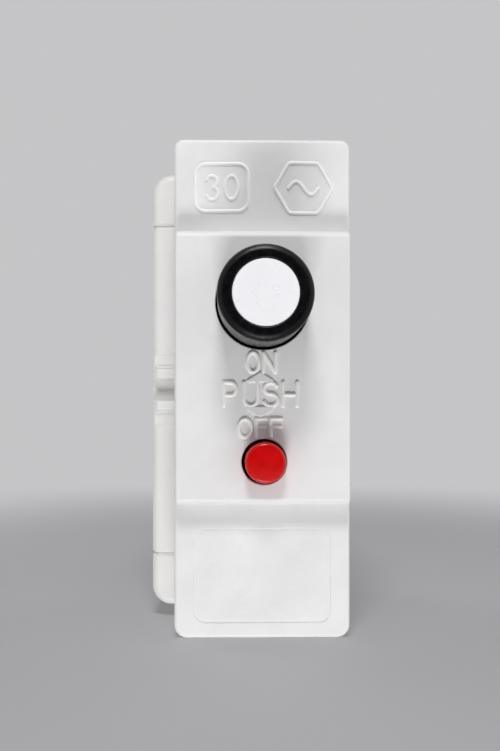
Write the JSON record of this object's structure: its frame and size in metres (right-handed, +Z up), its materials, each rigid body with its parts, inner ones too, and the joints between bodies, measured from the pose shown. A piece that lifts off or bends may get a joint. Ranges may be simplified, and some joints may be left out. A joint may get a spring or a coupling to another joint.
{
  "type": "plug-in miniature circuit breaker",
  "caption": "Plug-in miniature circuit breaker: slim white moulded case with a long black ON push button, a short red OFF button and flat brass blades at the back.",
  "frame": {"origin": "on the flat back of the case, midway between the plug blades", "axes": "+X to the right of someone facing the buttons, +Y from the buttons to the back, +Z up"},
  "size_m": [0.0304, 0.074, 0.0737],
  "materials": {
    "cover_white": "fine satin moulded thermoset, slightly mottled",
    "case_white": "satin moulded thermoset",
    "button_black": "glossy moulded plastic",
    "disc_white": "semi-gloss moulded plastic",
    "button_red": "satin moulded plastic",
    "nylon_natural": "natural nylon",
    "bobbin_black": "glass-filled nylon",
    "fibre_board": "vulcanised fibre",
    "spring_steel": "drawn wire",
    "zinc_steel": "zinc-plated sheet",
    "nickel_steel": "nickel-plated, dull",
    "core_iron": "plated soft iron",
    "bimetal": "rolled bimetal",
    "brass_blade": "drawn brass, light tarnish",
    "copper_strip": "rolled copper",
    "copper_winding": "enamelled copper wire",
    "copper_braid": "braided bare copper",
    "silver_contact": "dull silver"
  },
  "bodies": {
    "root": {"front_cover": "cover_white", "left_case_half": "case_white", "right_case_half": "case_white", "upper_end_block": "case_white", "lower_end_block": "case_white", "case_rivets": "nickel_steel", "cover_screws": "nickel_steel", "on_return_spring": "spring_steel", "off_return_spring": "spring_steel", "mechanism_frame": "zinc_steel", "contact_arm_pin": "nickel_steel", "latch_pin": "nickel_steel", "line_plug_blade": "brass_blade", "load_plug_blade": "brass_blade", "fixed_contact_strip": "copper_strip", "fixed_contact_tip": "silver_contact", "arm_opening_spring": "spring_steel", "latch_return_spring": "spring_steel", "coil_yoke": "core_iron", "coil_bobbin": "bobbin_black", "trip_winding": "copper_winding", "fixed_core": "core_iron", "armature_return_spring": "spring_steel", "load_strip": "copper_strip", "bimetal_bracket": "zinc_steel", "flexible_braid": "copper_braid", "arc_plates": "zinc_steel", "arc_cheeks": "fibre_board"},
    "on_button": {"on_button_cap": "button_black", "on_button_disc": "disc_white", "on_plunger": "nylon_natural"},
    "off_button": {"off_button": "button_red"},
    "contact_arm": {"contact_arm": "copper_strip", "moving_contact_tip": "silver_contact"},
    "latch_lever": {"latch_lever": "zinc_steel"},
    "armature": {"armature": "core_iron"},
    "bimetal": {"bimetal_strip": "bimetal", "calibration_screw": "nickel_steel"}
  },
  "joints": [
    {"name": "on_button_slide", "type": "slide", "parent": "root", "child": "on_button", "axis": [0, 1, 0], "range_m": [0, 0.0052], "stiffness_N_per_m": 300, "springref_m": -0.004, "deforming": ["on_return_spring"]},
    {"name": "off_button_slide", "type": "slide", "parent": "root", "child": "off_button", "axis": [0, 1, 0], "range_m": [0, 0.002], "stiffness_N_per_m": 250, "springref_m": -0.002, "deforming": ["off_return_spring"]},
    {"name": "contact_arm_hinge", "type": "hinge", "parent": "root", "child": "contact_arm", "pos_m": [0, -0.0147, -0.00425], "axis": [-1, 0, 0], "range_deg": [0, 17.5], "deforming": ["arm_opening_spring", "flexible_braid"]},
    {"name": "latch_lever_hinge", "type": "hinge", "parent": "root", "child": "latch_lever", "pos_m": [0, -0.024, 0.001], "axis": [1, 0, 0], "range_deg": [0, 9.64], "deforming": ["latch_return_spring"]},
    {"name": "armature_slide", "type": "slide", "parent": "root", "child": "armature", "axis": [0, 1, 0], "range_m": [0, 0.0012], "stiffness_N_per_m": 120, "springref_m": -0.001, "deforming": ["armature_return_spring"]},
    {"name": "bimetal_bend", "type": "hinge", "parent": "root", "child": "bimetal", "pos_m": [-0.0048, -0.0276, -0.0154], "axis": [-1, 0, 0], "range_deg": [0, 3], "stiffness_Nm_per_rad": 0.05}
  ],
  "couplings": [
    {"joint": "contact_arm_hinge", "follows": "on_button_slide", "rad_per_m": 58.711},
    {"joint": "latch_lever_hinge", "follows": "off_button_slide", "rad_per_m": 84.078}
  ]
}
